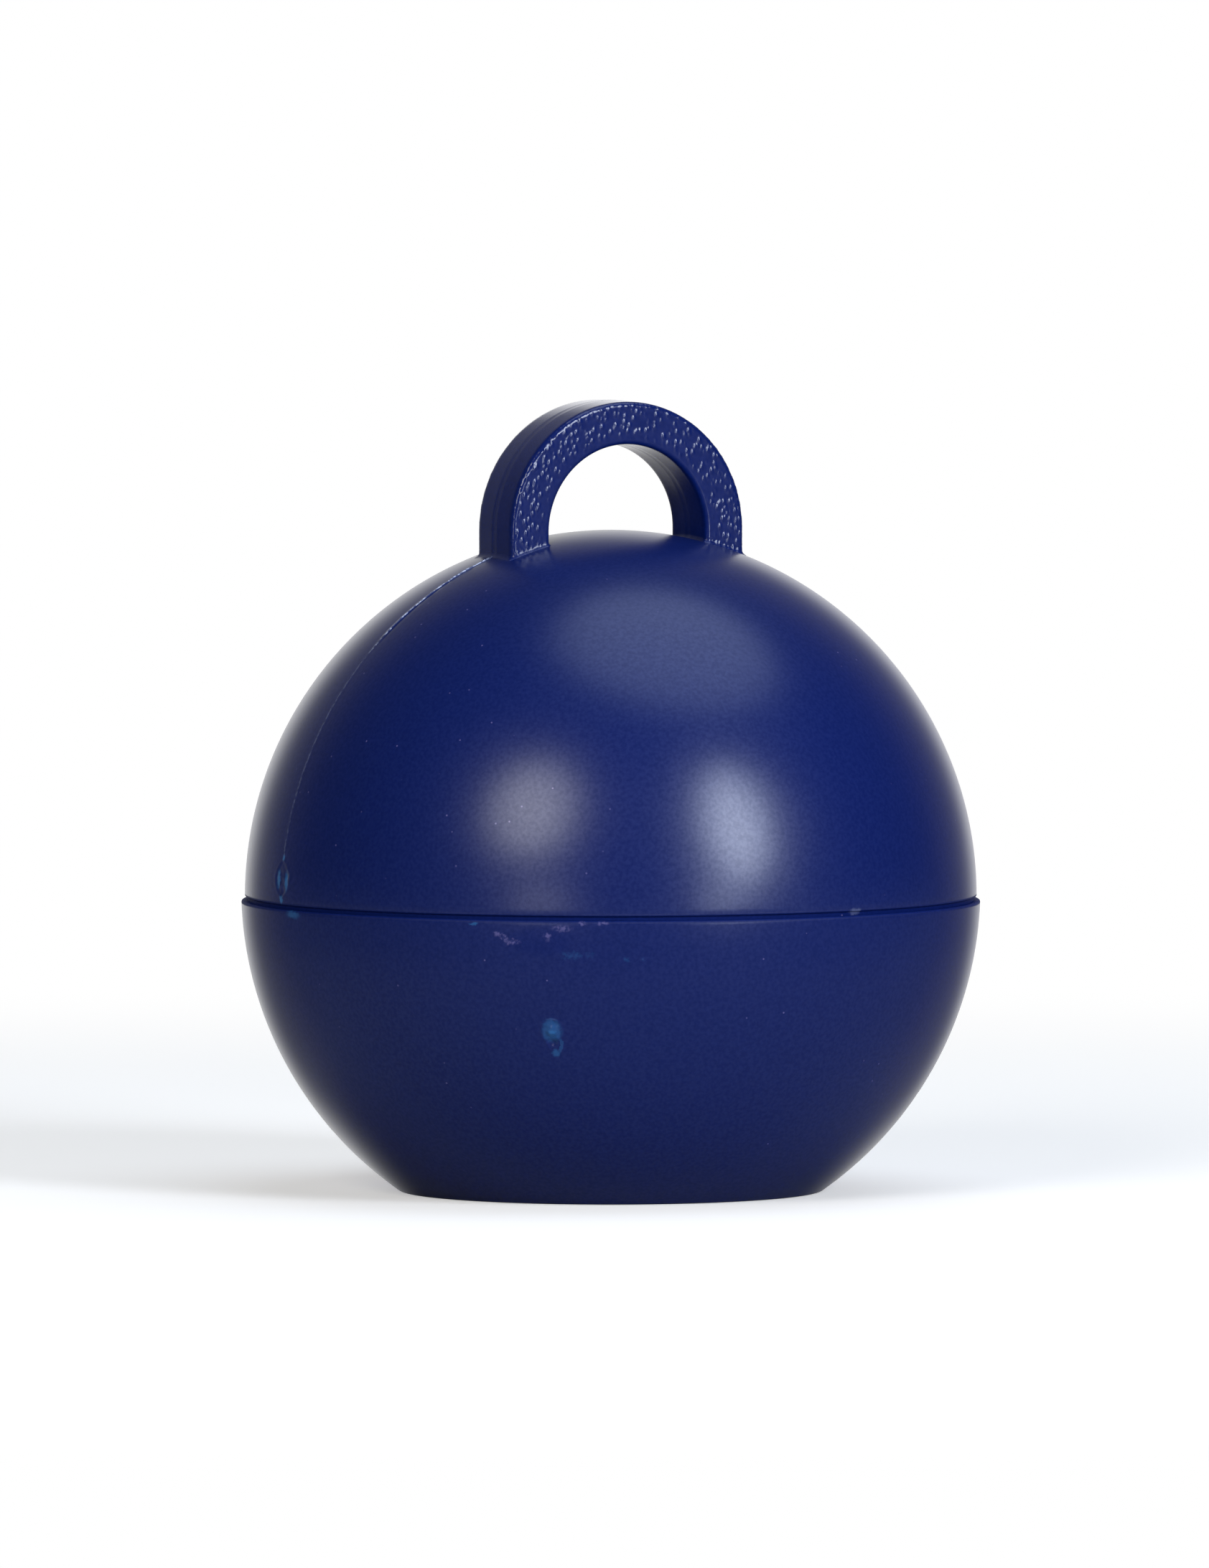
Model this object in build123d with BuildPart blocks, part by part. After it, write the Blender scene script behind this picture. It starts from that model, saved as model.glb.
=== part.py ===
from build123d import *
import math
import os

# Balloon weight, in millimetres: a moulded plastic ball in two halves with a steel slug inside.
# +Z is up, the origin is the centre of the flat base, and the ribbon loop on top lies in the XZ plane.

# Lower cup, a hollow ball with a flat foot
cup_radius = 20.0
foot_radius = 11.45
foot_edge_radius = 0.3
wall = 1.8
floor_thickness = 1.8
shoulder_drop = 0.65  # from the cup's ball centre down to the shoulder that carries the dome
shoulder_edge_radius = 0.1

# Upper dome, a slightly smaller hollow half ball that stands on the shoulder
dome_inset = 0.2  # the dome's outside lies this far inside the cup's
dome_edge_radius = 0.1
shadow_gap = 0.2  # height of the dark line between the two halves
shadow_depth = 0.15

# Closure, the cup's spigot pushed into the dome's skirt
skirt_wall = 1.0
spigot_wall = 0.9
spigot_height = 3.0
spigot_lead_in = 0.3
spigot_side_gap = 0.2
spigot_end_gap = 0.3
grip_rib_count = 8
grip_rib_width = 0.8
push_fit_clearance = 0.05

# Ribbon loop, an arch moulded with the dome in two drafted halves that meet in the XZ plane
loop_outer_radius = 7.05
loop_inner_radius = 4.65
loop_depth = 4.2
loop_draft_angle = 1.5
loop_edge_radius = 0.25

# Ballast slug, pressed in between ribs on the cup's floor
slug_height = 8.0
slug_chamfer = 0.8
slug_floor_margin = 0.2
slug_fit_clearance = 0.02
slug_rib_count = 6
slug_rib_thickness = 1.0
slug_rib_height = 5.0
slug_rib_lead_in = 0.5


def chord_radius(ball_radius, distance):
    """Radius of the circle in which a plane at this distance from the centre cuts a ball."""
    return math.sqrt(ball_radius**2 - distance**2)


# Heights above the base
cup_centre = chord_radius(cup_radius, foot_radius)
shoulder = cup_centre - shoulder_drop
spigot_top = shoulder + spigot_height
dome_edge = shoulder + shadow_gap  # also the height of the dome's ball centre
dome_radius = cup_radius - dome_inset
crown = dome_edge + dome_radius
skirt_top = spigot_top + spigot_end_gap

# Radii of the closure, from the outside in
seat_outside = dome_radius - shadow_depth
skirt_bore = dome_radius - skirt_wall
spigot_radius = skirt_bore - spigot_side_gap
spigot_bore = spigot_radius - spigot_wall
grip_rib_radius = skirt_bore - push_fit_clearance

# Inside of the cup and of the dome
cup_bore = cup_radius - wall
cup_mid_wall = cup_radius - wall / 2
floor_radius = chord_radius(cup_bore, cup_centre - floor_thickness)
spigot_root = cup_centre - chord_radius(cup_bore, spigot_bore)
dome_bore = dome_radius - wall
skirt_step = chord_radius(dome_bore, skirt_top - dome_edge)

# The slug covers the flat of the floor
slug_radius = floor_radius - slug_floor_margin + slug_chamfer
slug_rib_face = slug_radius + slug_fit_clearance
slug_rib_foot = cup_centre - chord_radius(cup_mid_wall, slug_rib_face)
slug_rib_top = floor_thickness + slug_rib_height

os.makedirs("parts", exist_ok=True)

# Lower cup: outline of half its section, turned about Z
with BuildPart() as lower_cup:
    with BuildSketch(Plane.XZ):
        with BuildLine():
            Polyline((0, floor_thickness), (0, 0), (foot_radius, 0))
            shoulder_outside = (chord_radius(cup_radius, shoulder_drop), shoulder)
            RadiusArc((foot_radius, 0), shoulder_outside, -cup_radius)
            Polyline(
                shoulder_outside,
                (spigot_radius, shoulder),
                (spigot_radius, spigot_top),
                (spigot_bore, spigot_top),
                (spigot_bore, spigot_root),
            )
            RadiusArc((spigot_bore, spigot_root), (floor_radius, floor_thickness), cup_bore)
            Line((floor_radius, floor_thickness), (0, floor_thickness))
        make_face()
    revolve(axis=Axis.Z)
    foot_edges = lower_cup.edges().filter_by(GeomType.CIRCLE).group_by(Axis.Z)[0]
    fillet(foot_edges, foot_edge_radius)
    shoulder_edges = lower_cup.edges().filter_by_position(Axis.Z, shoulder, shoulder)
    fillet(shoulder_edges.sort_by(SortBy.RADIUS)[-1], shoulder_edge_radius)
    top_edges = lower_cup.edges().filter_by(GeomType.CIRCLE).group_by(Axis.Z)[-1]
    chamfer(top_edges.sort_by(SortBy.RADIUS)[-1], spigot_lead_in)

    # Grip ribs down the outside of the spigot
    with BuildSketch(Plane.XY.offset(shoulder)):
        with PolarLocations(0, grip_rib_count):
            with Locations((grip_rib_radius - spigot_wall / 2, 0)):
                Rectangle(spigot_wall, grip_rib_width)
    extrude(amount=spigot_height - spigot_lead_in)

    # Ribs that hold the slug, rooted in the middle of the wall
    with BuildSketch(Plane.XZ):
        with BuildLine():
            rib_wall_top = (chord_radius(cup_mid_wall, cup_centre - slug_rib_top), slug_rib_top)
            RadiusArc((slug_rib_face, slug_rib_foot), rib_wall_top, -cup_mid_wall)
            Polyline(
                rib_wall_top,
                (slug_rib_face + slug_rib_lead_in, slug_rib_top),
                (slug_rib_face, slug_rib_top - slug_rib_lead_in),
                (slug_rib_face, slug_rib_foot),
            )
        make_face()
    slug_rib = extrude(amount=slug_rib_thickness / 2, both=True, mode=Mode.PRIVATE)
    with PolarLocations(0, slug_rib_count):
        add(slug_rib)

lower_cup.part.label = "lower_cup"
export_step(lower_cup.part, "parts/lower_cup.step")

# Ribbon loop: an arch about the crown, whose legs run on down to the level of the dome's centre
with BuildPart() as ribbon_loop:
    with BuildSketch(Plane.XZ):
        below = (Align.CENTER, Align.MAX)
        with Locations((0, crown)):
            Circle(loop_outer_radius)
            Rectangle(2 * loop_outer_radius, dome_radius, align=below)
            Circle(loop_inner_radius, mode=Mode.SUBTRACT)
            Rectangle(2 * loop_inner_radius, dome_radius, align=below, mode=Mode.SUBTRACT)
    extrude(amount=loop_depth / 2, both=True, taper=loop_draft_angle)
    fillet(ribbon_loop.faces().filter_by(Axis.Y).edges(), loop_edge_radius)

# Upper dome: a solid turned about Z, then the loop, then the hollow
with BuildPart() as upper_dome:
    with BuildSketch(Plane.XZ):
        with BuildLine():
            dome_edge_corner = (dome_radius, dome_edge)
            RadiusArc(dome_edge_corner, (0, crown), -dome_radius)
            Polyline(
                dome_edge_corner,
                (seat_outside, dome_edge),
                (seat_outside, shoulder),
                (0, shoulder),
                (0, crown),
            )
        make_face()
    revolve(axis=Axis.Z)
    dome_edges = upper_dome.edges().filter_by_position(Axis.Z, dome_edge, dome_edge)
    fillet(dome_edges.sort_by(SortBy.RADIUS)[-1], dome_edge_radius)
    add(ribbon_loop.part)

    # Hollow with the skirt's bore below it
    with BuildSketch(Plane.XZ):
        with BuildLine():
            Polyline(
                (0, crown - wall),
                (0, shoulder),
                (skirt_bore, shoulder),
                (skirt_bore, skirt_top),
                (skirt_step, skirt_top),
            )
            RadiusArc((skirt_step, skirt_top), (0, crown - wall), -dome_bore)
        make_face()
    revolve(axis=Axis.Z, mode=Mode.SUBTRACT)

upper_dome.part.label = "upper_dome"
export_step(upper_dome.part, "parts/upper_dome.step")

# Ballast slug
with BuildPart() as ballast_slug:
    with BuildSketch(Plane.XY.offset(floor_thickness)):
        Circle(slug_radius)
    extrude(amount=slug_height)
    chamfer(ballast_slug.edges().filter_by(GeomType.CIRCLE), slug_chamfer)

ballast_slug.part.label = "ballast_slug"
export_step(ballast_slug.part, "parts/ballast_slug.step")
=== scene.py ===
import math
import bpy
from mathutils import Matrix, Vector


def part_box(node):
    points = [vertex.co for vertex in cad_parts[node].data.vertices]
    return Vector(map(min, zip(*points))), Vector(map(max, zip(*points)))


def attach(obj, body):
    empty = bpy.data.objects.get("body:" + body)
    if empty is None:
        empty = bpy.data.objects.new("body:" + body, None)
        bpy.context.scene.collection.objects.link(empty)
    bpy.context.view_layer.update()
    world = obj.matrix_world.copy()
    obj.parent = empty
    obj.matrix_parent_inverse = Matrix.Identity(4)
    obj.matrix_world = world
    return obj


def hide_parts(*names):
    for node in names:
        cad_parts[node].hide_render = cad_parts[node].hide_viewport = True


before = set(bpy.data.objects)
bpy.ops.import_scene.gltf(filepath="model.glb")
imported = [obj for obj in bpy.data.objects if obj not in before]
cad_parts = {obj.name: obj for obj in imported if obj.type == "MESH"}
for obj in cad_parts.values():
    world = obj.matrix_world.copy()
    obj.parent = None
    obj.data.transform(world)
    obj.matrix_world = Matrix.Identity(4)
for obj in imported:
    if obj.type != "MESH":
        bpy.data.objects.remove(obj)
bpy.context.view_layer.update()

from types import SimpleNamespace

import bmesh
import bpy
from bpy.props import FloatProperty, FloatVectorProperty, PointerProperty
from mathutils import Vector, noise

# Balloon weight: a navy plastic ball in two moulded halves with a ribbon loop on top and a steel slug inside.
# Everything is in metres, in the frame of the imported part: +Z up, origin at the centre of the flat base.

bl_info = {
    "name": "Balloon Weight",
    "version": (1, 0, 0),
    "blender": (4, 5, 0),
    "location": "3D View > Sidebar > Balloon Weight",
    "description": "Builds a moulded two-part ball weight with a ribbon loop and a steel slug",
    "category": "Add Mesh",
}

MM = 0.001
DOME_LOW, DOME_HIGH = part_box("upper_dome")
CUP_LOW, CUP_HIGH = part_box("lower_cup")
SLUG_LOW, SLUG_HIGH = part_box("ballast_slug")

# Fineness of the meshes
BALL_SEGMENTS = 256
BALL_STEPS = 100
HOLLOW_STEPS = 32
ROUNDING_STEPS = 4
RIGHT_ANGLE = math.pi / 2
SAME_PLACE = 0.001 * MM
SHARP_ANGLE = math.radians(38)
NEARLY = 0.9  # share of a length, to find what has about that length

# The photograph's frame
PHOTO_HEIGHT = 2184  # in pixels
PHOTO_SCALE = 0.03884 * MM  # length at the object that one pixel covers


def linear_colour(hex_code):
    """Turns an sRGB hex colour into linear red, green, blue and alpha."""
    channels = [int(hex_code[i:i + 2], 16) / 255 for i in (1, 3, 5)]
    return tuple(c / 12.92 if c <= 0.04045 else ((c + 0.055) / 1.055) ** 2.4 for c in channels) + (1.0,)


def length(name, description, default):
    """A length that a user can change."""
    return FloatProperty(name=name, description=description, default=default, unit="LENGTH", precision=5)


def angle(name, description, degrees):
    """An angle that a user can change."""
    return FloatProperty(name=name, description=description, default=math.radians(degrees), subtype="ANGLE")


def paint(name, description, hex_code):
    """A colour that a user can change."""
    default = linear_colour(hex_code)
    return FloatVectorProperty(name=name, description=description, default=default, subtype="COLOR", size=4)


class BallSizes(bpy.types.PropertyGroup):
    """Sizes of the two halves of the ball."""

    cup_radius: length("Cup radius", "Outside radius of the lower half's ball", 20.0 * MM)
    foot_radius: length("Foot radius", "Radius of the flat underneath", 11.45 * MM)
    foot_rounding: length("Foot rounding", "Rounding of the edge of the foot", 0.3 * MM)
    wall: length("Wall", "Thickness of both halves", 1.8 * MM)
    floor: length("Floor", "Thickness of the cup's floor", SLUG_LOW.z - CUP_LOW.z)
    edge_rounding: length("Edge rounding", "Rounding of the two edges at the dark line", 0.1 * MM)
    dark_line: length("Dark line", "Height of the dark line between the halves", 0.2 * MM)
    dark_line_depth: length("Dark line depth", "How far the dark line goes in", 0.15 * MM)
    skirt_wall: length("Skirt wall", "Thickness of the dome's skirt", 1.0 * MM)
    spigot_gap: length("Spigot gap", "Room between the spigot and the skirt", 0.2 * MM)
    spigot_end_gap: length("Spigot end gap", "Room above the spigot", 0.3 * MM)
    spigot_wall: length("Spigot wall", "Thickness of the spigot", 0.9 * MM)
    spigot_lead_in: length("Spigot lead-in", "Chamfer round the top of the spigot", 0.3 * MM)
    grip_rib_width: length("Grip rib width", "Width of the ribs that grip the skirt", 0.8 * MM)
    push_fit: length("Push fit", "Room between the grip ribs and the skirt", 0.05 * MM)
    slug_rib_thickness: length("Slug rib thickness", "Thickness of the ribs round the slug", 1.0 * MM)
    slug_rib_height: length("Slug rib height", "Height of the ribs above the cup's floor", 5.0 * MM)
    slug_rib_lead_in: length("Slug rib lead-in", "Chamfer at the top of these ribs", 0.5 * MM)
    slug_fit: length("Slug fit", "Room between the slug and its ribs", 0.02 * MM)
    slug_chamfer: length("Slug chamfer", "Chamfer on the slug's edges", 0.8 * MM)


class LoopSizes(bpy.types.PropertyGroup):
    """Sizes of the ribbon loop and of the marks that its mould leaves."""

    outer_radius: length("Outer radius", "Outside radius of the arch at its parting line", 7.05 * MM)
    inner_radius: length("Inner radius", "Inside radius of the arch at its parting line", 4.65 * MM)
    depth: length("Depth", "Size of the arch from front to back", 4.2 * MM)
    edge_rounding: length("Edge rounding", "Rounding of the arch's long edges", 0.25 * MM)
    root_flare: length("Root flare", "Rounding where the legs meet the dome", 0.2 * MM)
    pebble_spacing: length("Pebble spacing", "From one pebble of the arch's faces to the next", 0.24 * MM)
    pebble_height: length("Pebble height", "Height of the tallest pebbles", 0.032 * MM)
    flash_height: length("Flash height", "Height of the flash along the dome's parting line", 0.075 * MM)
    draft: angle("Draft", "Draft of the arch's sides", 1.5)


class PlasticColours(bpy.types.PropertyGroup):
    """Colours of the moulded plastic."""

    navy: paint("Navy", "The plastic itself", "#091B57")
    mottled: paint("Mottled", "The paler spots of the plastic's fine grain", "#0B1E5E")
    stressed: paint("Stressed", "Plastic that was torn or bent at a gate", "#2F6FA8")
    scuffed: paint("Scuffed", "Small pale scratches and dust", "#AA9EDC")
    # Flash: partly the flash's own stress-whitened plastic, partly a painted highlight where light catches
    # the crest of its beads
    flash: paint("Flash", "The thin beads along the parting line", "#CBD6F2")


class StageSettings(bpy.types.PropertyGroup):
    """Camera and floor."""

    azimuth: angle("Azimuth", "Where the camera stands, turned from the loop's face", -26.6)
    elevation: angle("Elevation", "How far the camera looks down", 3.0)
    distance: length("Distance", "From the camera to the ball's axis", 1200 * MM)
    aim_height: length("Aim height", "Height that the middle of the picture shows", 22.0 * MM)
    aim_side: length("Aim side", "How far the picture's middle lies right of the axis", -0.34 * MM)


def derived_sizes(scene):
    """Heights above the base, and radii, that follow from the frame and the sizes."""
    ball = scene.weight_ball
    loop = scene.weight_loop
    found = SimpleNamespace()
    found.cup_centre = math.sqrt(ball.cup_radius**2 - ball.foot_radius**2)
    found.shoulder = DOME_LOW.z
    found.spigot_top = CUP_HIGH.z
    found.dome_edge = found.shoulder + ball.dark_line
    found.dome_radius = DOME_HIGH.x
    found.crown = DOME_HIGH.z - loop.outer_radius
    found.dome_centre = found.crown - found.dome_radius
    found.skirt_top = found.spigot_top + ball.spigot_end_gap
    found.skirt_bore = found.dome_radius - ball.skirt_wall
    found.spigot_radius = found.skirt_bore - ball.spigot_gap
    found.spigot_bore = found.spigot_radius - ball.spigot_wall
    found.grip_rib_radius = found.skirt_bore - ball.push_fit
    found.cup_bore = ball.cup_radius - ball.wall
    found.cup_mid_wall = ball.cup_radius - ball.wall / 2
    found.dome_bore = found.dome_radius - ball.wall
    found.dome_mid_wall = found.dome_radius - ball.wall / 2
    found.slug_rib_face = SLUG_HIGH.x + ball.slug_fit
    return found


def chord_radius(ball_radius, distance):
    """Radius of the circle in which a plane at this distance from the centre cuts a ball."""
    return math.sqrt(ball_radius**2 - distance**2)


def smooth_step(low, high, value):
    """Goes smoothly from 0 at low to 1 at high."""
    share = min(1.0, max(0.0, (value - low) / (high - low)))
    return share * share * (3 - 2 * share)


# Modelling


def deselect():
    """Leaves no object selected."""
    bpy.ops.object.select_all(action="DESELECT")


def start_piece(name):
    """Gives the primitive just added its name, puts its place in its mesh and opens it for editing."""
    piece = bpy.context.active_object
    piece.name = name
    piece.data.name = name
    bpy.ops.object.transform_apply(location=True, rotation=True, scale=True)
    bpy.ops.object.mode_set(mode="EDIT")
    return piece


def edited_shape():
    """The mesh that is open for editing."""
    return bmesh.from_edit_mesh(bpy.context.edit_object.data)


def select_all():
    """Selects the whole open mesh."""
    bpy.ops.mesh.select_all(action="SELECT")


def select_where(kind, test):
    """Selects only those vertices, edges or faces of the open mesh that pass the test."""
    bpy.ops.mesh.select_mode(type=kind)
    bpy.ops.mesh.select_all(action="DESELECT")
    shape = edited_shape()
    for element in {"VERT": shape.verts, "EDGE": shape.edges, "FACE": shape.faces}[kind]:
        if test(element):
            element.select_set(True)
    shape.select_flush_mode()
    bmesh.update_edit_mesh(bpy.context.edit_object.data)


def move_selected(place):
    """Puts each selected vertex of the open mesh where place says."""
    shape = edited_shape()
    for vertex in shape.verts:
        if vertex.select:
            vertex.co = place(vertex.co)
    bmesh.update_edit_mesh(bpy.context.edit_object.data)


def start_outline(name, x, z):
    """Opens a new mesh with one selected point in the XZ plane, the first of an outline."""
    deselect()
    bpy.ops.mesh.primitive_plane_add(size=MM, location=(x, 0, z))
    piece = start_piece(name)
    select_all()
    bpy.ops.mesh.merge(type="CENTER")
    return piece


def line_to(*points):
    """Draws the outline on from its selected end, straight through these points of the XZ plane."""
    for x, z in points:
        pen = next(vertex.co for vertex in edited_shape().verts if vertex.select)
        bpy.ops.mesh.extrude_region_move(TRANSFORM_OT_translate={"value": (x - pen.x, 0, z - pen.z)})


def arc_about(x, z, start, end, steps):
    """Draws the outline on from its selected end, round a centre, between two angles from +X towards +Z."""
    bpy.ops.mesh.spin(steps=steps, angle=end - start, center=(x, 0, z), axis=(0, 1, 0))


def turn_outline():
    """Turns the whole outline about the Z axis into a closed skin that faces outwards."""
    select_all()
    bpy.ops.mesh.spin(steps=BALL_SEGMENTS, angle=2 * math.pi, center=(0, 0, 0), axis=(0, 0, 1))
    select_all()
    bpy.ops.mesh.remove_doubles(threshold=SAME_PLACE)
    bpy.ops.mesh.normals_make_consistent(inside=False)


def close_editing():
    """Leaves edit mode with nothing selected."""
    bpy.ops.object.mode_set(mode="OBJECT")
    deselect()


def pick(piece):
    """Selects this piece alone and makes it the active one."""
    deselect()
    bpy.context.view_layer.objects.active = piece
    piece.select_set(True)


def unite(piece, tool):
    """Joins the tool to the piece as one closed solid and deletes the tool."""
    pick(piece)
    modifier = piece.modifiers.new("Union", "BOOLEAN")
    modifier.operation = "UNION"
    modifier.solver = "EXACT"
    modifier.object = tool
    bpy.ops.object.modifier_apply(modifier=modifier.name)
    bpy.data.objects.remove(tool)


def dress(piece, material, body, node):
    """Shades the piece, gives it its material and puts it in place of a node of the frame."""
    pick(piece)
    bpy.ops.object.shade_smooth_by_angle(angle=SHARP_ANGLE)
    piece.data.materials.clear()
    piece.data.materials.append(material)
    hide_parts(node)
    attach(piece, body)
    piece.select_set(False)


# Upper dome with its loop

DOME_GATE_HEIGHT = 1.4 * MM  # of the middle of the gate's scar above the dome's edge
DOME_GATE_HALF_WIDTH = 0.85 * MM
DOME_GATE_HALF_HEIGHT = 1.05 * MM
DOME_GATE_REACH = 1.5 * DOME_GATE_HALF_HEIGHT
DOME_GATE_CUTS = 3
DOME_GATE_LIP = 0.012 * MM
DOME_GATE_LIP_SHARE = 0.16  # of the scar's half size
DOME_GATE_HOLLOW = 0.02 * MM
DOME_GATE_ROUGHNESS = 0.03 * MM
DOME_GATE_GRAIN = 0.3 * MM
FLASH_HALF_WIDTH = 0.14 * MM
FLASH_END = 1.5 * MM  # above the dome's edge
FLASH_FADE = (0.68, 0.76)  # sines of heights on the ball, between which the flash grows to its full size
FLASH_FAINT = 0.08  # its share of that size further down
FLASH_BEAD = 0.22 * MM
FLASH_BEAD_MEAN = 0.7
FLASH_BEAD_SWING = 0.6
FLASH_STEP = 0.03 * MM  # of one mould half past the other
HAIRLINE_DEPTH = 0.02 * MM  # of the parting line down the loop's sides
ARCH_STEPS = 320
FACE_CUTS = 49
SIDE_CUTS = 17
LEG_LENGTH = 1.9 * MM
LEG_STEPS = 32
ON_SKIN = 0.46  # share of the band's width or depth, beyond which a point lies on its skin
PEBBLE_SHARE = 0.56  # radius of the largest pebbles, in spacings
PEBBLE_SQUASH = 0.55  # makes the pebbles taller than wide
PEBBLE_PATCH = 3  # spacings
PEBBLE_THINNING = (-1.2, -0.2)  # of the noise that lowers them in patches
PEBBLE_START = (0.25 * MM, 0.9 * MM)  # from the inside edge, where they begin and where they are full
EDGE_GRAIN = 0.14 * MM
EDGE_ROUGHNESS = 0.03 * MM
BURR_AZIMUTH = math.radians(14.8)  # of a pale burr on the dome's edge, from the loop's front face


def build_dome_shell(ball, sizes):
    """A hollow half ball whose skirt goes over the cup's spigot."""
    edge = ball.edge_rounding
    edge_top = sizes.dome_edge + edge
    edge_angle = math.asin((edge_top - sizes.dome_centre) / sizes.dome_radius)
    edge_outside = sizes.dome_radius * math.cos(edge_angle)
    seat_outside = edge_outside - ball.dark_line_depth
    step_angle = math.asin((sizes.skirt_top - sizes.dome_centre) / sizes.dome_bore)
    dome = start_outline("dome_moulding", 0, sizes.crown)
    arc_about(0, sizes.dome_centre, RIGHT_ANGLE, edge_angle, BALL_STEPS)
    arc_about(edge_outside - edge, edge_top, 0, -RIGHT_ANGLE, ROUNDING_STEPS)
    line_to((seat_outside, sizes.dome_edge), (seat_outside, sizes.shoulder))
    line_to((sizes.skirt_bore, sizes.shoulder), (sizes.skirt_bore, sizes.skirt_top))
    line_to((sizes.dome_bore * math.cos(step_angle), sizes.skirt_top))
    arc_about(0, sizes.dome_centre, step_angle, RIGHT_ANGLE, HOLLOW_STEPS)
    turn_outline()
    return dome


def mark_parting_line(sizes, loop):
    """Raises a beaded ridge of flash on the dome where the two halves of its mould met."""
    centre = Vector((0, 0, sizes.dome_centre))
    for side in (-FLASH_HALF_WIDTH, FLASH_HALF_WIDTH):
        select_where("FACE", lambda face: (face.calc_center_median() - centre).length > sizes.dome_mid_wall)
        bpy.ops.mesh.bisect(plane_co=(0, side, 0), plane_no=(0, 1, 0), threshold=SAME_PLACE)
    select_where(
        "VERT",
        lambda vertex: -FLASH_HALF_WIDTH - SAME_PLACE < vertex.co.y < SAME_PLACE
        and abs((vertex.co - centre).length - sizes.dome_radius) < SAME_PLACE
        and abs(vertex.co.x) > loop.outer_radius
        and vertex.co.z > sizes.dome_edge + FLASH_END,
    )

    def lifted(place):
        outwards = (place - centre).normalized()
        share = FLASH_FAINT + (1 - FLASH_FAINT) * smooth_step(*FLASH_FADE, outwards.z)
        beads = FLASH_BEAD_MEAN + FLASH_BEAD_SWING * noise.noise(place / FLASH_BEAD)
        rise = loop.flash_height * beads if abs(place.y) < SAME_PLACE else -FLASH_STEP
        return place + outwards * rise * share

    move_selected(lifted)


def mark_dome_gate(sizes):
    """Leaves the pointed scar where the dome was broken off its runner."""
    centre = Vector((0, 0, sizes.dome_centre))
    height = sizes.dome_edge + DOME_GATE_HEIGHT
    gate = Vector((-sizes.dome_radius, 0, height))
    select_where(
        "FACE",
        lambda face: (face.calc_center_median() - gate).length < DOME_GATE_REACH
        and all(abs((vertex.co - centre).length - sizes.dome_radius) < SAME_PLACE for vertex in face.verts),
    )
    bpy.ops.mesh.subdivide(number_cuts=DOME_GATE_CUTS)

    def scarred(place):
        outwards = (place - centre).normalized()
        across = place.y / DOME_GATE_HALF_WIDTH
        up = (place.z - height) / DOME_GATE_HALF_HEIGHT
        out = abs(across) + up * up
        lip = DOME_GATE_LIP * math.exp(-(((out - 1) / DOME_GATE_LIP_SHARE) ** 2))
        hollow = -DOME_GATE_HOLLOW * (1 - smooth_step(0.7, 1.0, out))
        rough = DOME_GATE_ROUGHNESS * noise.noise(place / DOME_GATE_GRAIN) * (1 - smooth_step(0.8, 1.1, out))
        fade = 1 - smooth_step(0.8 * DOME_GATE_REACH, DOME_GATE_REACH, (place - gate).length)
        return centre + outwards * (sizes.dome_radius + fade * (lip + hollow + rough))

    move_selected(scarred)


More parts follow.
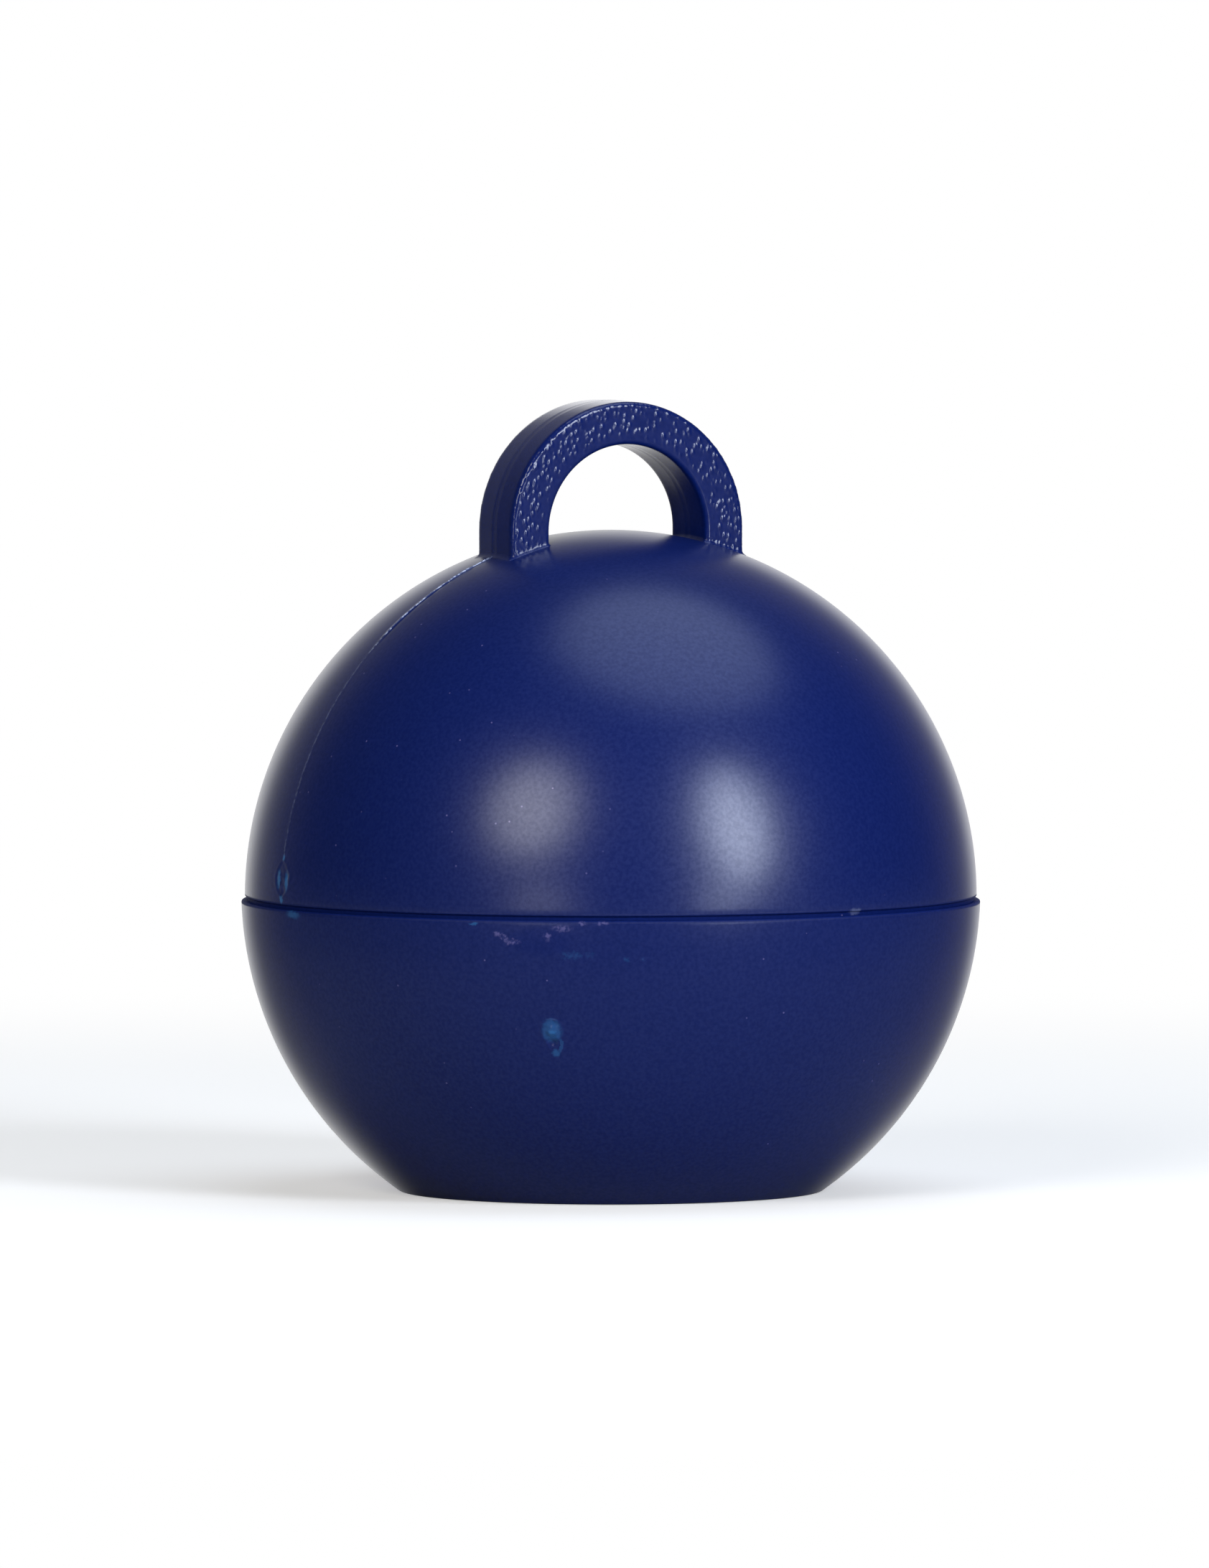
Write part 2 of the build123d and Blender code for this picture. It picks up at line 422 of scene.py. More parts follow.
def build_ribbon_loop(loop, sizes):
    """An arch with drafted sides, a hairline where the mould halves met, pebbled faces and flared feet."""
    band = loop.outer_radius - loop.inner_radius
    middle = loop.inner_radius + band / 2
    face = loop.depth / 2
    deselect()
    bpy.ops.mesh.primitive_plane_add(size=1, location=(middle, 0, sizes.crown))
    bpy.ops.transform.resize(value=(band, loop.depth, 1))
    arch = start_piece("ribbon_loop")

    # Section of the band, with rounded corners
    bpy.ops.mesh.select_mode(type="VERT")
    select_all()
    bpy.ops.mesh.bevel(offset=loop.edge_rounding, segments=ROUNDING_STEPS, affect="VERTICES")
    bpy.ops.mesh.delete(type="ONLY_FACE")
    runs_across = band - 2 * loop.edge_rounding
    select_where("EDGE", lambda edge: abs(edge.verts[0].co.x - edge.verts[1].co.x) > NEARLY * runs_across)
    bpy.ops.mesh.subdivide(number_cuts=FACE_CUTS)
    runs_back = loop.depth - 2 * loop.edge_rounding
    select_where("EDGE", lambda edge: abs(edge.verts[0].co.y - edge.verts[1].co.y) > NEARLY * runs_back)
    bpy.ops.mesh.subdivide(number_cuts=SIDE_CUTS)
    select_all()

    def drafted(place):
        narrowing = 1 - 2 * abs(place.y) * math.tan(loop.draft) / band
        side = (place.x - middle) * narrowing
        hairline = HAIRLINE_DEPTH * max(0.0, 1 - abs(place.y) / FLASH_HALF_WIDTH)
        return Vector((middle + side - math.copysign(hairline, side), place.y, place.z))

    move_selected(drafted)

    # Half a turn over the crown, then the two legs down into the dome's wall
    select_all()
    bpy.ops.mesh.spin(steps=ARCH_STEPS, angle=math.pi, center=(0, 0, sizes.crown), axis=(0, 1, 0))
    select_where("EDGE", lambda edge: all(abs(v.co.z - sizes.crown) < SAME_PLACE for v in edge.verts))
    for _ in range(LEG_STEPS):
        bpy.ops.mesh.extrude_region_move(TRANSFORM_OT_translate={"value": (0, 0, -LEG_LENGTH / LEG_STEPS)})
    select_all()
    bpy.ops.mesh.fill_holes(sides=0)
    bpy.ops.mesh.normals_make_consistent(inside=False)

    # Feet flare where they meet the dome
    centre = Vector((0, 0, sizes.dome_centre))
    select_where("VERT", lambda vertex: vertex.co.z < sizes.crown)

    def flared(place):
        above = (place - centre).length - sizes.dome_radius
        spread = loop.root_flare * min(1.0, max(0.0, 1 - above / loop.root_flare) ** 2 / 2)
        aside = math.copysign(1, place.x) * (abs(place.x) - middle)
        out = Vector((0, 0, 0))
        if abs(aside) > ON_SKIN * band:
            out.x = math.copysign(spread, aside)
        if abs(place.y) > ON_SKIN * loop.depth:
            out.y = math.copysign(spread, place.y)
        return place + out

    move_selected(flared)

    # Separate low pebbles on the front and the back, in patches, with a smooth strip along the inside
    select_where("VERT", lambda vertex: abs(vertex.co.y) > NEARLY * face)
    edge_start = loop.outer_radius - 2 * loop.edge_rounding

    def pebbled(place):
        radius = math.hypot(place.x, max(0.0, place.z - sizes.crown))
        share = smooth_step(*PEBBLE_START, radius - loop.inner_radius)
        share *= smooth_step(*PEBBLE_THINNING, noise.noise(place / (PEBBLE_PATCH * loop.pebble_spacing)))
        upright = Vector((place.x, place.y, PEBBLE_SQUASH * place.z))
        off = noise.voronoi(upright / loop.pebble_spacing)[0][0] / PEBBLE_SHARE
        rise = loop.pebble_height * share * max(0.0, 1 - off * off) ** 2
        above = (place - centre).length - sizes.dome_radius
        at_root = 1 - smooth_step(0.5 * loop.root_flare, 2 * loop.root_flare, above)
        on_edge = max(at_root, smooth_step(edge_start, loop.outer_radius, radius))
        rise += on_edge * EDGE_ROUGHNESS * noise.noise(place / EDGE_GRAIN)
        return place + Vector((0, math.copysign(1, place.y) * rise, 0))

    move_selected(pebbled)
    close_editing()
    return arch


class WEIGHT_OT_upper_dome(bpy.types.Operator):
    """Builds the upper dome with its ribbon loop"""

    bl_idname = "weight.upper_dome"
    bl_label = "Upper Dome"

    def execute(self, context):
        scene = context.scene
        sizes = derived_sizes(scene)
        dome = build_dome_shell(scene.weight_ball, sizes)
        mark_dome_gate(sizes)
        mark_parting_line(sizes, scene.weight_loop)
        close_editing()
        unite(dome, build_ribbon_loop(scene.weight_loop, sizes))
        dress(dome, navy_polypropylene("dome", scene, sizes), "dome", "upper_dome")
        return {"FINISHED"}


# Lower cup

GRIP_RIB_COUNT = 8
SLUG_RIB_COUNT = 6
CUP_GATE_AZIMUTH = math.radians(-126.2)  # of the gate's scar about the Z axis, from +X
CUP_GATE_HEIGHT = 9.52 * MM
CUP_GATE_HALF_WIDTH = 0.58 * MM
CUP_GATE_HALF_HEIGHT = 0.98 * MM
CUP_GATE_REACH = 1.4 * CUP_GATE_HALF_HEIGHT
CUP_GATE_CUTS = 5
CUP_GATE_TEAR = 0.13 * MM
CUP_GATE_HOLLOW = 0.1 * MM
CUP_GATE_LIP = 0.02 * MM
CUP_GATE_LIP_SHARE = 0.2  # of the scar's half size
CUP_GATE_ROUGHNESS = 0.05 * MM
CUP_GATE_GRAIN = 0.25 * MM
DROP_WIDTH = 0.7875  # of the drop at its middle, in half widths
DROP_TAPER = 0.4725  # more at the top and less at the bottom
DROP_LEAST = 0.05


def build_cup_shell(ball, sizes):
    """A hollow ball, cut flat below for its foot, with a spigot round its mouth."""
    edge = ball.edge_rounding
    edge_top = sizes.shoulder - edge
    edge_angle = math.asin((edge_top - sizes.cup_centre) / ball.cup_radius)
    edge_outside = ball.cup_radius * math.cos(edge_angle)
    foot = ball.foot_rounding
    foot_angle = math.asin((foot - sizes.cup_centre) / (ball.cup_radius - foot))
    foot_flat = (ball.cup_radius - foot) * math.cos(foot_angle)
    root_angle = -math.acos(sizes.spigot_bore / sizes.cup_bore)
    floor_angle = math.asin((ball.floor - sizes.cup_centre) / sizes.cup_bore)
    cup = start_outline("cup_moulding", 0, 0)
    line_to((foot_flat, 0))
    arc_about(foot_flat, foot, -RIGHT_ANGLE, foot_angle, ROUNDING_STEPS)
    arc_about(0, sizes.cup_centre, foot_angle, edge_angle, BALL_STEPS)
    arc_about(edge_outside - edge, edge_top, 0, RIGHT_ANGLE, ROUNDING_STEPS)
    line_to((sizes.spigot_radius, sizes.shoulder))
    line_to((sizes.spigot_radius, sizes.spigot_top - ball.spigot_lead_in))
    line_to((sizes.spigot_radius - ball.spigot_lead_in, sizes.spigot_top))
    line_to((sizes.spigot_bore, sizes.spigot_top))
    line_to((sizes.spigot_bore, sizes.cup_centre + sizes.cup_bore * math.sin(root_angle)))
    arc_about(0, sizes.cup_centre, root_angle, floor_angle, HOLLOW_STEPS)
    line_to((0, ball.floor))
    turn_outline()
    return cup


def lump(across, up, height, tall, wide):
    """A soft lump on a mark's middle line, 1 at its top, with places in half sizes of the mark."""
    return math.exp(-(((up - height) / tall) ** 2 + (across / wide) ** 2))


def mark_cup_gate(ball, sizes):
    """Leaves the torn, drop-shaped scar where the cup was broken off its runner."""
    centre = Vector((0, 0, sizes.cup_centre))
    ring = chord_radius(ball.cup_radius, sizes.cup_centre - CUP_GATE_HEIGHT)
    gate = Vector((ring * math.cos(CUP_GATE_AZIMUTH), ring * math.sin(CUP_GATE_AZIMUTH), CUP_GATE_HEIGHT))
    outwards = (gate - centre).normalized()
    across_axis = Vector((0, 0, 1)).cross(outwards).normalized()
    up_axis = outwards.cross(across_axis)
    select_where("FACE", lambda face: (face.calc_center_median() - gate).length < CUP_GATE_REACH)
    bpy.ops.mesh.subdivide(number_cuts=CUP_GATE_CUTS)

    def scarred(place):
        across = (place - gate).dot(across_axis) / CUP_GATE_HALF_WIDTH
        up = (place - gate).dot(up_axis) / CUP_GATE_HALF_HEIGHT
        half_width = (DROP_WIDTH + DROP_TAPER * up) * math.sqrt(max(0.0, 1 - up * up))
        out = max(abs(up), abs(across) / max(DROP_LEAST, half_width))
        inside = 1 - smooth_step(0.75, 1.1, out)
        torn = CUP_GATE_TEAR * lump(across, up, height=0.3, tall=0.35, wide=0.5)
        hollow = -CUP_GATE_HOLLOW * lump(across, up, height=-0.35, tall=0.3, wide=0.45)
        lip = CUP_GATE_LIP * math.exp(-(((out - 1) / CUP_GATE_LIP_SHARE) ** 2))
        rough = CUP_GATE_ROUGHNESS * noise.noise(place / CUP_GATE_GRAIN)
        rise = inside * (torn + hollow + rough) + lip
        return centre + (place - centre).normalized() * (ball.cup_radius + rise)

    move_selected(scarred)


def add_ribs(name, corners, thickness, count):
    """Ribs round the Z axis, from the four corners, as radius and height, of one rib's outline."""
    deselect()
    bpy.ops.mesh.primitive_plane_add(size=1, rotation=(RIGHT_ANGLE, 0, 0))
    ribs = start_piece(name)
    bpy.ops.mesh.select_mode(type="VERT")
    select_all()
    shape = edited_shape()
    for vertex, (radius, height) in zip(shape.faces[:][0].verts, corners):
        vertex.co = Vector((radius, -thickness / 2, height))
    bmesh.update_edit_mesh(ribs.data)
    bpy.ops.mesh.extrude_region_move(TRANSFORM_OT_translate={"value": (0, thickness, 0)})
    select_all()
    bpy.ops.mesh.normals_make_consistent(inside=False)
    turn = 2 * math.pi * (count - 1) / count
    bpy.ops.mesh.spin(steps=count - 1, dupli=True, angle=turn, center=(0, 0, 0), axis=(0, 0, 1))
    close_editing()
    return ribs


class WEIGHT_OT_lower_cup(bpy.types.Operator):
    """Builds the lower cup with its spigot and ribs"""

    bl_idname = "weight.lower_cup"
    bl_label = "Lower Cup"

    def execute(self, context):
        scene = context.scene
        ball = scene.weight_ball
        sizes = derived_sizes(scene)
        cup = build_cup_shell(ball, sizes)
        mark_cup_gate(ball, sizes)
        close_editing()
        grip_root = sizes.spigot_radius - ball.spigot_wall / 2
        grip_top = sizes.spigot_top - ball.spigot_lead_in
        grip_foot = sizes.shoulder - ball.edge_rounding
        grip_corners = [(grip_root, grip_foot), (sizes.grip_rib_radius, grip_foot)]
        grip_corners += [(sizes.grip_rib_radius, grip_top), (grip_root, grip_top)]
        unite(cup, add_ribs("grip_ribs", grip_corners, ball.grip_rib_width, GRIP_RIB_COUNT))
        face = sizes.slug_rib_face
        top = ball.floor + ball.slug_rib_height
        foot = sizes.cup_centre - chord_radius(sizes.cup_mid_wall, face)
        wall_top = chord_radius(sizes.cup_mid_wall, sizes.cup_centre - top)
        slug_corners = [(face, foot), (wall_top, top), (face + ball.slug_rib_lead_in, top)]
        slug_corners += [(face, top - ball.slug_rib_lead_in)]
        unite(cup, add_ribs("slug_ribs", slug_corners, ball.slug_rib_thickness, SLUG_RIB_COUNT))
        dress(cup, navy_polypropylene("cup", scene, sizes), "cup", "lower_cup")
        return {"FINISHED"}


# Ballast slug

LEVEL = 0.99  # least Z of the normals of level faces
SLUG_EASING = 1 / 8  # rounding of the slug's flat ends, as a share of its chamfer


class WEIGHT_OT_ballast_slug(bpy.types.Operator):
    """Builds the steel slug that lies on the cup's floor"""

    bl_idname = "weight.ballast_slug"
    bl_label = "Ballast Slug"

    def execute(self, context):
        ball = context.scene.weight_ball
        height = SLUG_HIGH.z - SLUG_LOW.z
        deselect()
        middle = (0, 0, SLUG_LOW.z + height / 2)
        bpy.ops.mesh.primitive_cylinder_add(
            vertices=BALL_SEGMENTS // 2, radius=SLUG_HIGH.x, depth=height, location=middle
        )
        slug = start_piece("steel_slug")
        select_where("EDGE", lambda edge: abs(edge.verts[0].co.z - edge.verts[1].co.z) < SAME_PLACE)
        bpy.ops.mesh.bevel(offset=ball.slug_chamfer, segments=1, affect="EDGES")
        select_where("FACE", lambda face: abs(face.normal.z) > LEVEL)
        bpy.ops.mesh.bevel(offset=ball.slug_chamfer * SLUG_EASING, segments=2, affect="EDGES")
        close_editing()
        dress(slug, cut_steel(), "cup", "ballast_slug")
        return {"FINISHED"}


# Materials


def add_node(tree, kind, settings=None, links=None):
    """Adds a shader node, sets its options and plain inputs, and links its other inputs from outputs."""
    node = tree.nodes.new("ShaderNode" + kind)
    for name, value in (settings or {}).items():
        if isinstance(name, int) or name in node.inputs:
            node.inputs[name].default_value = value
        else:
            setattr(node, name, value)
    for name, output in (links or {}).items():
        tree.links.new(output, node.inputs[name])
    return node


def new_material(name):
    """An empty material, its node tree and the places on the object that it is drawn on."""
    material = bpy.data.materials.new(name)
    material.use_nodes = True
    tree = material.node_tree
    tree.nodes.clear()
    return material, tree, add_node(tree, "TexCoord").outputs["Object"]


def speckle(tree, place, grain, detail=1.0):
    """The outputs of a noise whose lumps are about one grain across."""
    settings = {"Scale": 1 / grain, "Detail": detail}
    return add_node(tree, "TexNoise", settings, {"Vector": place}).outputs


def vector_sum(tree, operation, vector, other=(0, 0, 0)):
    """The outputs of a sum on a vector, with a fixed one as its second value."""
    settings = {"operation": operation, 1: other}
    return add_node(tree, "VectorMath", settings, {0: vector}).outputs


def axes_of(tree, place):
    """The outputs X, Y and Z of a place."""
    return add_node(tree, "SeparateXYZ", links={"Vector": place}).outputs


def spot(tree, place, centre, half_sizes, turn=0.0):
    """A mask that is 1 in the middle of an ellipsoid, turned about Z, and falls to 0 at its skin."""
    settings = {"vector_type": "TEXTURE", "Location": centre, "Rotation": (0, 0, turn), "Scale": half_sizes}
    inside = add_node(tree, "Mapping", settings, {"Vector": place})
    links = {"Vector": inside.outputs["Vector"]}
    return add_node(tree, "TexGradient", {"gradient_type": "SPHERICAL"}, links).outputs["Fac"]


def combined(tree, operation, masks):
    """One mask made from several by the same sum."""
    found = masks[0]
    for mask in masks[1:]:
        node = add_node(tree, "Math", {"operation": operation}, {0: found, 1: mask})
        found = node.outputs["Value"]
    return found


def ranged(tree, value, low, high, at_low=0.0, at_high=1.0):
    """A value that goes smoothly from one level to another as the one given goes from low to high."""
    settings = {"From Min": low, "From Max": high, "To Min": at_low, "To Max": at_high}
    settings["interpolation_type"] = "SMOOTHSTEP"
    return add_node(tree, "MapRange", settings, {"Value": value}).outputs["Result"]


def on_ball(radius, centre_height, azimuth, height):
    """The place on a ball, by its direction from the loop's front face and its height above the base."""
    ring = chord_radius(radius, height - centre_height)
    return (ring * math.sin(azimuth), -ring * math.cos(azimuth), height)


# Marks on the cup near its rim: azimuth in degrees, drop below the shoulder, half width and half height in mm
SCUFFS = (
    (-44.2, 0.75, 0.38, 0.20),
    (-43.2, 0.95, 0.32, 0.20),
    (-42.0, 1.16, 0.60, 0.22),
    (-36.4, 0.83, 0.30, 0.34),
    (-34.1, 0.40, 0.72, 0.26),
    (-30.9, 0.16, 0.32, 0.18),
    (-27.8, 0.13, 0.40, 0.18),
)
BRUISES = (
    (-33.2, 1.87, 0.58, 0.32),
    (-31.9, 1.84, 0.36, 0.34),
    (-29.9, 1.80, 0.32, 0.26),
    (-24.2, 2.10, 0.26, 0.24),
    (-21.6, 2.05, 0.22, 0.20),
)
CHAFES = (
    (-85.2, 0.22, 0.95, 0.30),
    (-48.1, 0.25, 0.36, 0.12),
)
RUBBED = ((-37.4, 1.1, 2.2, 1.0),)
MARK_DEPTH = 0.6 * MM
BREAK_GRAIN = 0.16 * MM  # of the noise that breaks up scuffs and bruises
HANDLED = (-4 * MM, -1 * MM)  # from the shoulder, between which handling dulled the cup

# Parts of the cup's gate scar: aside and above its middle, half width and half height in mm
GATE_TEAR = (0.0, 0.28, 0.66, 0.92)
GATE_CORE = (0.0, 0.2, 0.3, 0.3)
GATE_TIP = (0.16, -0.92, 0.28, 0.3)
GATE_RING = (0.04, -0.4, 0.55, 0.85)
GATE_RING_SIDE = (0.4, -0.55, 0.5, 0.7)
RING_LEVEL = 0.2  # of the spot's mask, where the ring shows
RING_BREADTH = 0.14

# Pale parts of the dome's gate scar, in the same way
DOME_GATE_LIPS = (
    (0.43, 0.0, 0.3, 0.75),
    (-0.5, -0.1, 0.3, 0.75),
    (0.0, 1.15, 0.25, 0.25),
    (0.0, -1.1, 0.3, 0.3),
)

# Where the flash is painted pale, partly as its own stress-whitened plastic and partly as a painted highlight
# on its crest: two places along Y, X or Z, or above the gate's middle, then its levels there
FLASH_FOOT = (-0.6 * FLASH_HALF_WIDTH, -0.35 * FLASH_HALF_WIDTH)
FLASH_CREST = (0.7 * FLASH_HALF_WIDTH, FLASH_HALF_WIDTH, 1.0, 0.0)
FLASH_LEFT = (-7.25 * MM, -7.1 * MM, 1.0, 0.0)
FLASH_HEAVY = (29 * MM, 31 * MM, 0.1, 0.9)
FLASH_ABOVE_GATE = (0.8 * MM, 1.2 * MM)
BURR_HALF_SIZES = (0.5 * MM, MARK_DEPTH, 0.26 * MM)

# Past the ball, and past the inside of the loop, where the finish changes into that of the loop's outside
FINISH_CHANGE = (0.1 * MM, 0.3 * MM)


def cup_marks(tree, place, wandered, scene, sizes):
    """Tints of the cup's gate, scuffs and bruises, and how dull handling left its finish."""
    ball = scene.weight_ball
    colours = scene.weight_colours
    azimuth = CUP_GATE_AZIMUTH + RIGHT_ANGLE

    def gate_spot(aside, rise, half_width, half_height):
        turned = azimuth + aside * MM / ball.cup_radius
        centre = on_ball(ball.cup_radius, sizes.cup_centre, turned, CUP_GATE_HEIGHT + rise * MM)
        return spot(tree, wandered, centre, (half_width * MM, MARK_DEPTH, half_height * MM), azimuth)

    def rim_marks(marks):
        masks = []
        for degrees, drop, half_width, half_height in marks:
            turn = math.radians(degrees)
            centre = on_ball(ball.cup_radius, sizes.cup_centre, turn, sizes.shoulder - drop * MM)
            masks.append(spot(tree, wandered, centre, (half_width * MM, MARK_DEPTH, half_height * MM), turn))
        return combined(tree, "MAXIMUM", masks)

    torn = ranged(tree, gate_spot(*GATE_TEAR), 0.0, 0.45, at_high=0.38)
    core = ranged(tree, gate_spot(*GATE_CORE), 0.0, 0.8, at_high=0.3)
    tip = ranged(tree, gate_spot(*GATE_TIP), 0.0, 0.7, at_high=0.4)
    settings = {"operation": "COMPARE", 1: RING_LEVEL, 2: RING_BREADTH}
    ring = add_node(tree, "Math", settings, {0: gate_spot(*GATE_RING)}).outputs["Value"]
    ring_side = ranged(tree, gate_spot(*GATE_RING_SIDE), 0.0, 0.6, at_high=0.25)
    outline = combined(tree, "MULTIPLY", [ring, ring_side])
    chafed = ranged(tree, rim_marks(CHAFES), 0.05, 0.75, at_high=0.5)
    broken = ranged(tree, speckle(tree, place, BREAK_GRAIN, detail=2.0)["Fac"], 0.36, 0.64, at_low=0.2)
    bruised = combined(tree, "MULTIPLY", [rim_marks(BRUISES), broken])
    bruised = ranged(tree, bruised, 0.0, 0.7, at_high=0.16)
    stressed = combined(tree, "ADD", [combined(tree, "MAXIMUM", [torn, tip, outline, chafed, bruised]), core])
    scuffed = combined(tree, "MULTIPLY", [rim_marks(SCUFFS), broken])
    scuffed = ranged(tree, scuffed, 0.0, 0.7, at_high=0.2)
    low, high = (sizes.shoulder + drop for drop in HANDLED)
    handled = ranged(tree, axes_of(tree, place)["Z"], low, high, at_low=1.0, at_high=0.75)
    rubbed = ranged(tree, rim_marks(RUBBED), 0.0, 0.5, at_low=1.0, at_high=0.7)
    tints = [(colours.stressed, stressed), (colours.scuffed, scuffed)]
    return tints, {"Specular IOR Level": combined(tree, "MULTIPLY", [handled, rubbed])}


def dome_marks(tree, place, wandered, scene, sizes):
    """Tints of the dome's gate and of the flash along its parting line, the flash's tint partly a painted
    highlight on its crest, how smooth its loop is, and painted shade inside the loop.
    """
    colours = scene.weight_colours
    gate = sizes.dome_edge + DOME_GATE_HEIGHT
    masks = []
    for across, rise, half_width, half_height in DOME_GATE_LIPS:
        centre = (-sizes.dome_radius, across * MM, gate + rise * MM)
        masks.append(spot(tree, wandered, centre, (MARK_DEPTH, half_width * MM, half_height * MM)))
    stressed = ranged(tree, combined(tree, "MAXIMUM", masks), 0.05, 0.75, at_high=0.8)
    axes = axes_of(tree, place)
    # Pale beads on the crest and its front flank, on the left side only and heavier higher up: partly the
    # flash's stress-whitened plastic, partly a painted highlight where light catches the crest
    foot = ranged(tree, axes["Y"], *FLASH_FOOT)
    crest = ranged(tree, axes["Y"], *FLASH_CREST)
    beads = ranged(tree, speckle(tree, place, FLASH_BEAD)["Fac"], 0.42, 0.56, at_low=0.12)
    left = ranged(tree, axes["X"], *FLASH_LEFT)
    heavy = ranged(tree, axes["Z"], *FLASH_HEAVY)
    low, high = (gate + rise for rise in FLASH_ABOVE_GATE)
    above = ranged(tree, axes["Z"], low, high)
    flash = combined(tree, "MULTIPLY", [foot, crest, beads, left, heavy, above])
    burr = on_ball(sizes.dome_radius, sizes.dome_centre, BURR_AZIMUTH, sizes.dome_edge)
    burr = spot(tree, wandered, burr, BURR_HALF_SIZES, BURR_AZIMUTH)
    flash = combined(tree, "MAXIMUM", [flash, ranged(tree, burr, 0.0, 0.6, at_high=0.12)])
    beyond = vector_sum(tree, "DISTANCE", place, (0, 0, sizes.dome_centre))["Value"]
    low, high = (sizes.dome_radius + past for past in FINISH_CHANGE)
    on_loop = ranged(tree, beyond, low, high)
    smoothed = ranged(tree, on_loop, 0.0, 1.0, at_low=1.0, at_high=0.62)

    # The inside of the loop has nearly all its reflection taken away, as painted shade under the arch
    flat = vector_sum(tree, "MULTIPLY", place, (1, 0, 1))["Vector"]
    reach = vector_sum(tree, "DISTANCE", flat, (0, 0, sizes.crown))["Value"]
    low, high = (scene.weight_loop.inner_radius + past for past in FINISH_CHANGE)
    inside = ranged(tree, reach, low, high, at_low=1.0, at_high=0.0)
    lining_shade = combined(tree, "MULTIPLY", [on_loop, inside])
    dulled = ranged(tree, lining_shade, 0.0, 1.0, at_low=1.0, at_high=0.05)
    tints = [(colours.stressed, stressed), (colours.flash, flash)]
    return tints, {"Roughness": smoothed, "Specular IOR Level": dulled}


GRAIN = 0.2 * MM  # the mould's own is about 0.05 mm and is drawn coarser so that it shows
GRAIN_LEVELS = (0.2, 0.8)  # of the noise
WAVE_WIDTH = 4 * MM
WAVE_HEIGHT = 0.012 * MM
TEAR_GRAIN = 0.22 * MM
WANDER = 0.3 * MM
SPECK_SPACING = 1.2 * MM
SPECK_EDGE = (0.02, 0.06)  # radii where a speck is full and where it ends, in spacings
DUST_PATCH = 9 * MM
DUST_LEVELS = (0.45, 0.62)  # of the noise
SEAM_ROUGH = (0.2 * MM, 0.27 * MM, 2.2, 1.0)  # from the middle of the dark line, then levels there
SEAM_SHADED = (0.1 * MM, 0.25 * MM, 0.1, 1.0)
PLASTIC_IOR = 1.49


def navy_polypropylene(half, scene, sizes):
    """Injection-moulded polypropylene: deep navy and satin, with a fine grain, gate scars and dust."""
    colours = scene.weight_colours
    material, tree, place = new_material(f"navy_polypropylene_{half}")
    grain = speckle(tree, place, GRAIN)["Fac"]
    waves = speckle(tree, place, WAVE_WIDTH)["Fac"]
    wavy = add_node(tree, "Bump", {"Strength": 1.0, "Distance": WAVE_HEIGHT}, {"Height": waves})

    # Marks have torn outlines, so they are placed on coordinates that wander a little
    torn = speckle(tree, place, TEAR_GRAIN, detail=2.0)["Color"]
    wander = vector_sum(tree, "SUBTRACT", torn, (0.5, 0.5, 0.5))["Vector"]
    settings = {"operation": "MULTIPLY_ADD", 1: (WANDER, WANDER, WANDER)}
    wandered = add_node(tree, "VectorMath", settings, {0: wander, 2: place}).outputs["Vector"]
    marks = {"dome": dome_marks, "cup": cup_marks}[half]
    tints, changes = marks(tree, place, wandered, scene, sizes)

    # Dust: specks about 0.15 mm across, gathered in patches
    cells = add_node(tree, "TexVoronoi", {"Scale": 1 / SPECK_SPACING}, {"Vector": place})
    specks = ranged(tree, cells.outputs["Distance"], *SPECK_EDGE, at_low=0.28, at_high=0.0)
    patches = ranged(tree, speckle(tree, place, DUST_PATCH)["Fac"], *DUST_LEVELS)
    tints.append((colours.scuffed, combined(tree, "MULTIPLY", [specks, patches])))

    settings = {"data_type": "RGBA", 6: colours.navy, 7: colours.mottled}
    colour = add_node(tree, "Mix", settings, {0: ranged(tree, grain, *GRAIN_LEVELS)}).outputs[2]
    for tint, share in tints:
        settings = {"data_type": "RGBA", 7: tint}
        colour = add_node(tree, "Mix", settings, {0: share, 6: colour}).outputs[2]

    # The ball's roughness stays above 0.274, because the denoiser takes glossier points for a mirror
    satin = ranged(tree, grain, *GRAIN_LEVELS, at_low=0.28, at_high=0.3)
    sheen = ranged(tree, grain, *GRAIN_LEVELS, at_low=0.42, at_high=0.58)
    middle = (sizes.shoulder + sizes.dome_edge) / 2
    height = axes_of(tree, place)["Z"]
    off_line = add_node(tree, "Math", {"operation": "SUBTRACT", 1: middle}, {0: height}).outputs["Value"]
    off_line = add_node(tree, "Math", {"operation": "ABSOLUTE"}, {0: off_line}).outputs["Value"]
    roughened = ranged(tree, off_line, *SEAM_ROUGH)
    shaded = ranged(tree, off_line, *SEAM_SHADED)
    finish = {"Roughness": [satin, roughened], "Specular IOR Level": [sheen, shaded]}
    for socket, change in changes.items():
        finish[socket].append(change)
    finish = {socket: combined(tree, "MULTIPLY", factors) for socket, factors in finish.items()}
    links = {"Base Color": colour, "Normal": wavy.outputs["Normal"], **finish}
    shader = add_node(tree, "BsdfPrincipled", {"IOR": PLASTIC_IOR}, links)
    add_node(tree, "OutputMaterial", links={"Surface": shader.outputs["BSDF"]})
    return material


RING_SPACING = 0.3 * MM
RING_HEIGHT = 0.01 * MM
STEEL = {"Base Color": linear_colour("#8E8C88"), "Metallic": 1.0, "Roughness": 0.36}


